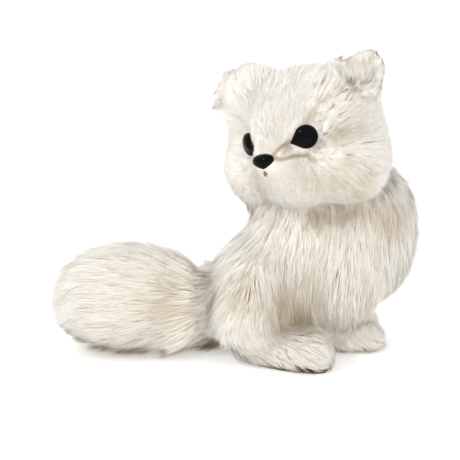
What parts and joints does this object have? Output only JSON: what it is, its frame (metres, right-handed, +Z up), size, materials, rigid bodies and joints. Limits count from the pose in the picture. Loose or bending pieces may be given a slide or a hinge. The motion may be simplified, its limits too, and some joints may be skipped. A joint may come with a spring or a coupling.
{
  "type": "toy arctic fox",
  "caption": "Fur-covered toy arctic fox, sitting with its bushy tail out behind it and its head turned back over its right shoulder.",
  "frame": {"origin": "middle of the underside of the seat plate, on the surface that the fox sits on", "axes": "+X towards the fox's breast, +Y towards its left side, +Z up"},
  "size_m": [0.2299, 0.1148, 0.1939],
  "materials": {
    "white_fur": "long soft pile",
    "black_plastic": "polished",
    "brown_thread": "matte thread",
    "dark_leather": "matte",
    "white_felt": "felt"
  },
  "bodies": {
    "root": {"head": "white_fur", "muzzle": "white_fur", "ear_left": "white_fur", "ear_right": "white_fur", "eye_left": "black_plastic", "eye_right": "black_plastic", "nose": "black_plastic", "mouth": "brown_thread", "neck": "white_fur", "trunk": "white_fur", "tail": "white_fur", "thigh_left": "white_fur", "thigh_right": "white_fur", "hindpaw_left": "white_fur", "hindpaw_right": "white_fur", "sole_hind_left": "dark_leather", "sole_hind_right": "dark_leather", "foreleg_left": "white_fur", "foreleg_right": "white_fur", "forepaw_left": "white_fur", "forepaw_right": "white_fur", "sole_fore_left": "dark_leather", "sole_fore_right": "dark_leather", "seat_plate": "white_felt"}
  },
  "joints": []
}
